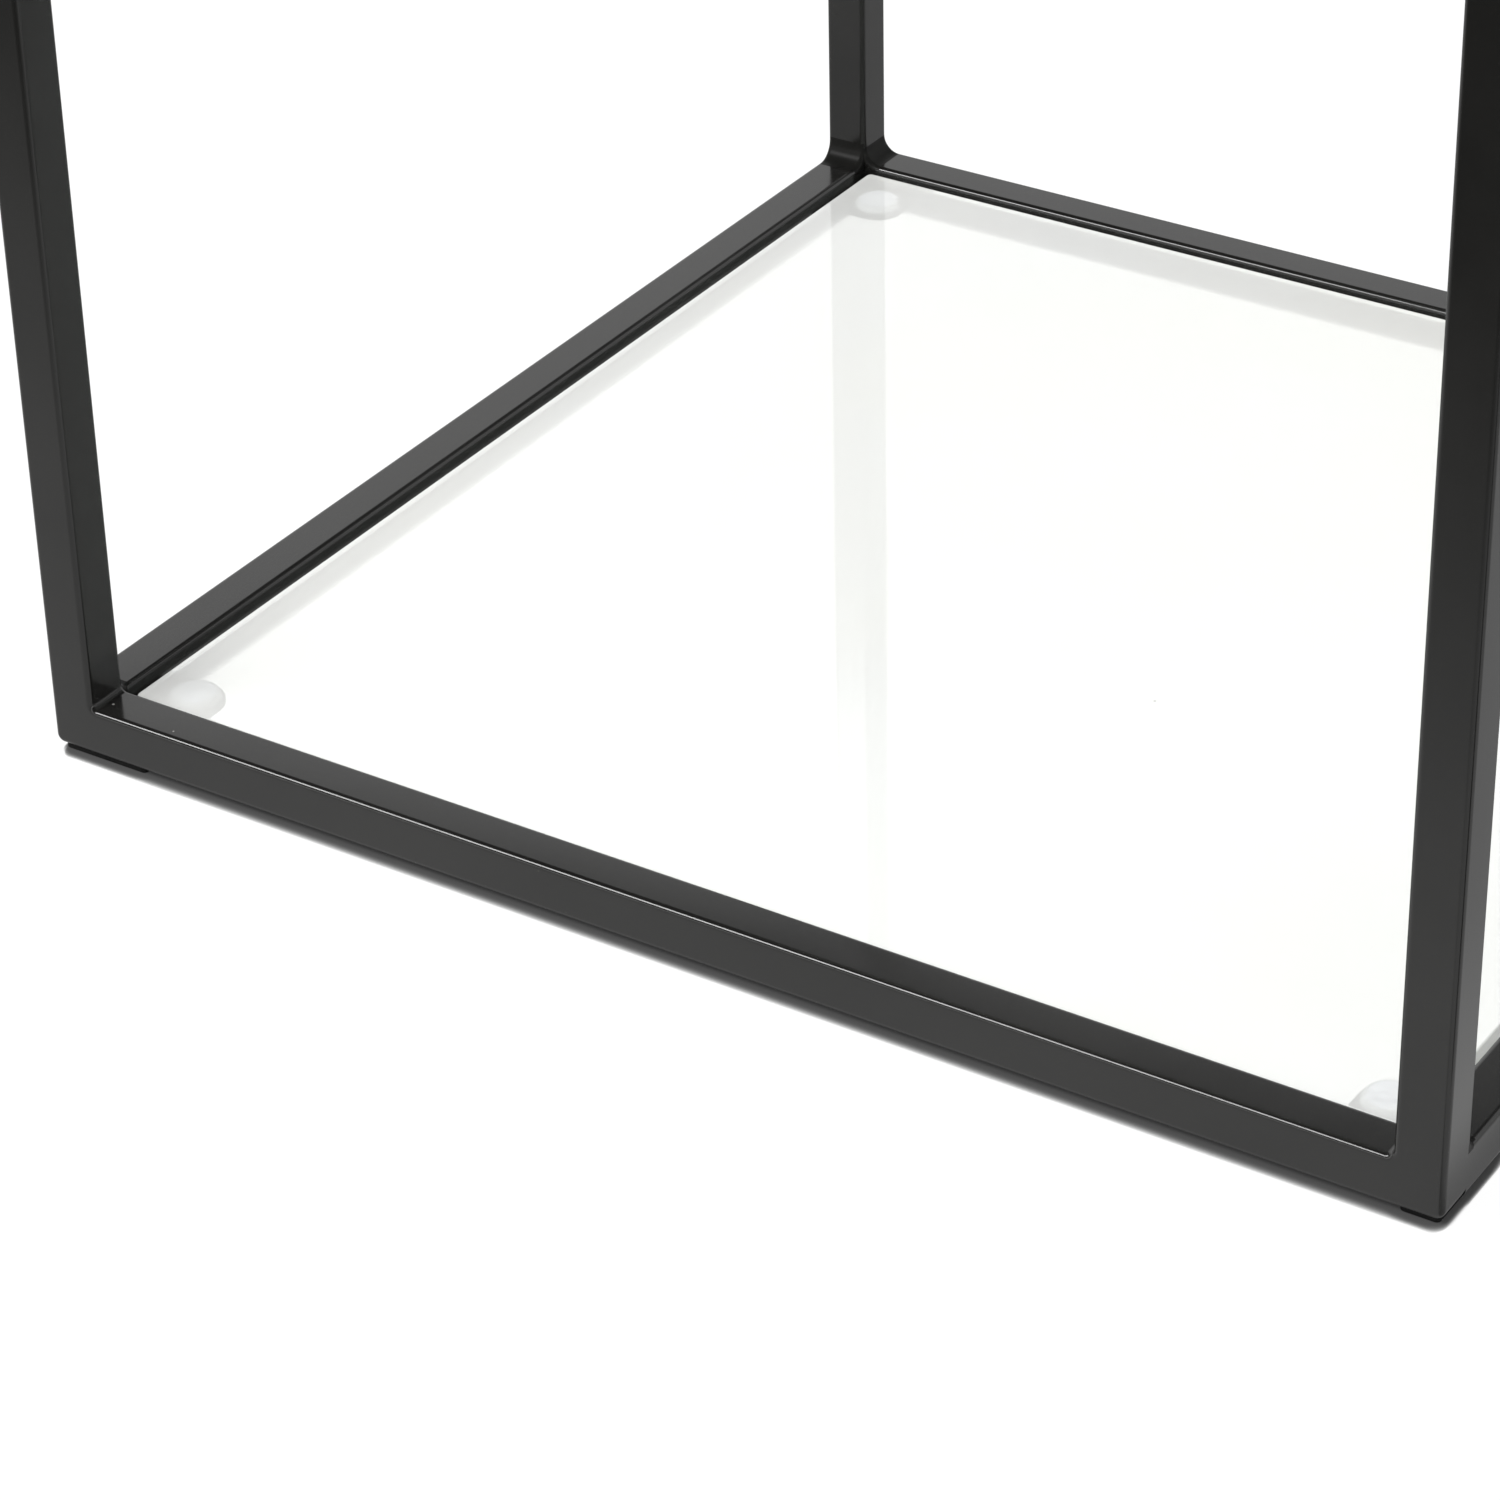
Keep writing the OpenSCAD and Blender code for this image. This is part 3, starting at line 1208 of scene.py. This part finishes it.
@dataclass(frozen=True)
class Studio:
    """A white floor and a pale sweep under a dark ceiling, lit by one wide soft lamp."""

    # Places of the small table's left and right face
    left_face: float
    right_face: float
    # Light all round, and what reflections see: a sweep and a ceiling behind, a strip in front
    ambient: float = 0.65
    behind: Ramp = Ramp(-0.2, 0.0, 0.0, 1.0)
    sweep_rise: Ramp = Ramp(climb(26.0), climb(31.3), 0.95, 1.25)
    sweep_fall: Ramp = Ramp(climb(31.3), climb(35.2), 1.0, 0.21)
    ceiling: Ramp = Ramp(climb(38.0), climb(48.0), 1.0, 0.04)
    strip_low: float = climb(5.0)
    strip_high: float = climb(15.0)
    strip_glow: float = 3.0
    # The floor, under the lights and as it is seen
    floor_size: float = 40.0
    floor_albedo: float = 0.9
    floor_seen_albedo: float = 0.08
    floor_seen_glow: float = 0.97
    # The floor in reflections: pale stretches, and where they are dimmed
    gleam_front: Ramp = Ramp(-0.80, -0.25, 0.0, 0.84)
    gleam_left: Ramp = Ramp(-1.1, -0.5, 0.8, 1.0)
    gleam_right: Ramp = Ramp(0.2, 0.7, 0.0, 0.5)
    dim_middle: Ramp = Ramp(-0.20, -0.05, 0.0, 0.26)
    dim_beside: Ramp = Ramp(2.0 * MM, 20.0 * MM, 0.42, 0.0)
    # The close shadow of what stands on the floor
    contact_reach: float = 4.1 * MM
    contact_left: Ramp = Ramp(-1.0 * MM, 6.0 * MM, 0.1, 1.0)
    contact_right: Ramp = Ramp(-3.0 * MM, 4.0 * MM, 1.0, 0.62)
    contact_depth: float = 7.0
    contact_least: float = 0.025
    contact_mirrored: Ramp = Ramp(0.4, 1.0, 0.15, 1.0)
    contact_samples: int = 16
    # The lamp
    key_place: tuple[float, float, float] = (-1.45, -1.66, 1.80)
    key_aim: tuple[float, float, float] = (-0.28, -0.10, 0.05)
    key_width: float = 1.6
    key_height: float = 0.6
    key_power: float = 50.0

    def build(self) -> None:
        """Builds the whole studio."""
        self._world()
        self._floor()
        self._key_lamp()
        bpy.context.scene.view_settings.view_transform = "Standard"

    def _world(self) -> None:
        """Plain soft light all round, white to the camera, with a dark ceiling for reflections."""
        world = bpy.data.worlds.new("studio")
        world.use_nodes = True
        world.cycles.sampling_method = "NONE"
        bpy.context.scene.world = world
        sheet = NodeSheet(world.node_tree)
        generated = sheet.add("ShaderNodeTexCoord").outputs["Generated"]
        way = sheet.add("ShaderNodeSeparateXYZ", {"Vector": generated}).outputs
        behind = sheet.ramp(way["Y"], self.behind)
        rising, falling, below_ceiling = (
            sheet.ramp(way["Z"], ramp) for ramp in (self.sweep_rise, self.sweep_fall, self.ceiling)
        )
        sweep = sheet.product(rising, falling, below_ceiling, behind)
        over = sheet.math("GREATER_THAN", way["Z"], self.strip_low)
        under = sheet.math("LESS_THAN", way["Z"], self.strip_high)
        front = sheet.math("SUBTRACT", 1.0, behind)
        mirrored = sheet.math("ADD", sweep, sheet.product(over, under, front, self.strip_glow))
        path = sheet.add("ShaderNodeLightPath").outputs
        seen = sheet.math("MAXIMUM", path["Is Camera Ray"], path["Is Transmission Ray"])
        level = sheet.mix(path["Is Glossy Ray"], grey(self.ambient), mirrored)
        level = sheet.mix(seen, level, grey(1.0))
        light = sheet.add("ShaderNodeBackground", {"Color": level, "Strength": 1.0})
        sheet.add("ShaderNodeOutputWorld", {"Surface": light.outputs["Background"]})

    def _floor(self) -> None:
        """White floor that keeps the close shadow of what stands on it."""
        Bench.deselect()
        bpy.ops.mesh.primitive_plane_add(size=self.floor_size, location=(0, 0, 0))
        floor = bpy.context.active_object
        floor.name = "floor"
        material = bpy.data.materials.new("white_floor")
        material.use_nodes = True
        material.cycles.emission_sampling = "NONE"
        sheet = NodeSheet(material.node_tree)
        path = sheet.add("ShaderNodeLightPath").outputs
        seen = sheet.math("MAXIMUM", path["Is Camera Ray"], path["Is Transmission Ray"])
        mirrored = path["Is Glossy Ray"]
        albedo = sheet.mix(seen, grey(self.floor_albedo), grey(self.floor_seen_albedo))
        albedo = sheet.mix(mirrored, albedo, grey(0.0))
        place = sheet.add("ShaderNodeTexCoord").outputs["Object"]
        spot = sheet.add("ShaderNodeSeparateXYZ", {"Vector": place}).outputs
        reach = {"Distance": self._reach(sheet, spot["X"])}
        nearness = sheet.add("ShaderNodeAmbientOcclusion", reach, samples=self.contact_samples)
        openness = nearness.outputs["AO"]
        open_share = sheet.math("POWER", openness, self.contact_depth)
        open_share = sheet.math("MAXIMUM", open_share, self.contact_least)
        mirrored_share = sheet.ramp(openness, self.contact_mirrored)
        straight = sheet.product(seen, self.floor_seen_glow, open_share)
        gleam = sheet.product(mirrored, self._gleam(sheet, spot["X"], spot["Y"]), mirrored_share)
        level = sheet.math("ADD", straight, gleam)
        matt = sheet.add("ShaderNodeBsdfDiffuse", {"Color": albedo}).outputs["BSDF"]
        light = sheet.add("ShaderNodeEmission", {"Color": grey(1.0), "Strength": level}).outputs["Emission"]
        both = sheet.shaders("ShaderNodeAddShader", matt, light)
        sheet.add("ShaderNodeOutputMaterial", {"Surface": both})
        floor.data.materials.append(material)

    def _reach(self, sheet: NodeSheet, x: Socket) -> Socket:
        """How far the close shadow reaches: hardly at the small table's left end, less at its right.

        Args:
            sheet: the floor's node sheet.
            x: place across the floor.

        Returns:
            The reach in metres.
        """
        left = sheet.ramp(sheet.math("SUBTRACT", x, self.left_face), self.contact_left)
        right = sheet.ramp(sheet.math("SUBTRACT", x, self.right_face), self.contact_right)
        return sheet.product(left, right, self.contact_reach)

    def _gleam(self, sheet: NodeSheet, x: Socket, y: Socket) -> Socket:
        """Level of the floor in reflections: pale close in front and far right, darker elsewhere.

        Args:
            sheet: the floor's node sheet.
            x: place across the floor.
            y: place along the floor, away from the front.

        Returns:
            The level.
        """
        across = sheet.math("ADD", x, y)
        front = sheet.product(sheet.ramp(y, self.gleam_front), sheet.ramp(across, self.gleam_left))
        level = sheet.math("ADD", front, sheet.ramp(across, self.gleam_right))
        past_right = sheet.math("SUBTRACT", x, self.right_face)
        is_right = sheet.math("GREATER_THAN", past_right, 0.0)
        beside = sheet.product(is_right, sheet.ramp(past_right, self.dim_beside))
        dim = sheet.math("ADD", sheet.ramp(y, self.dim_middle), beside)
        return sheet.math("SUBTRACT", level, dim)

    def _key_lamp(self) -> None:
        """Adds the wide soft lamp, high at the front left."""
        data = bpy.data.lights.new("key_lamp", "AREA")
        data.shape, data.size, data.size_y = "RECTANGLE", self.key_width, self.key_height
        data.energy = self.key_power
        lamp = bpy.data.objects.new("key_lamp", data)
        lamp.location = self.key_place
        way = Vector(self.key_aim) - Vector(self.key_place)
        lamp.rotation_euler = way.to_track_quat("-Z", "Y").to_euler()
        bpy.context.scene.collection.objects.link(lamp)


def main() -> None:
    """Builds the tables and the studio."""
    shop = Paintshop()
    small = Table(
        Body.SMALL, "small", shop,
        legs={
            "front": ("leg_front_left", "leg_front_right"),
            "back": ("leg_back_left", "leg_back_right"),
        },
        base_cross_rails={"left": -1, "right": 1},
        top_cross_rails={"left": -1, "right": 1},
        levels=("shelf", "top"),
    )
    large = Table(
        Body.LARGE, "large", shop,
        legs={
            "front": ("leg_open_front", "leg_end_front"),
            "back": ("leg_open_back", "leg_end_back"),
        },
        base_cross_rails={"end": 1},
        top_cross_rails={"open": -1, "end": 1},
        levels=("top",),
    )
    for table in (small, large):
        table.build()
    left_front, right_back = small.tubes.ring_box("front")
    Camera().build()
    Studio(left_face=left_front.x, right_face=right_back.x).build()


if __name__ == "__main__":
    main()
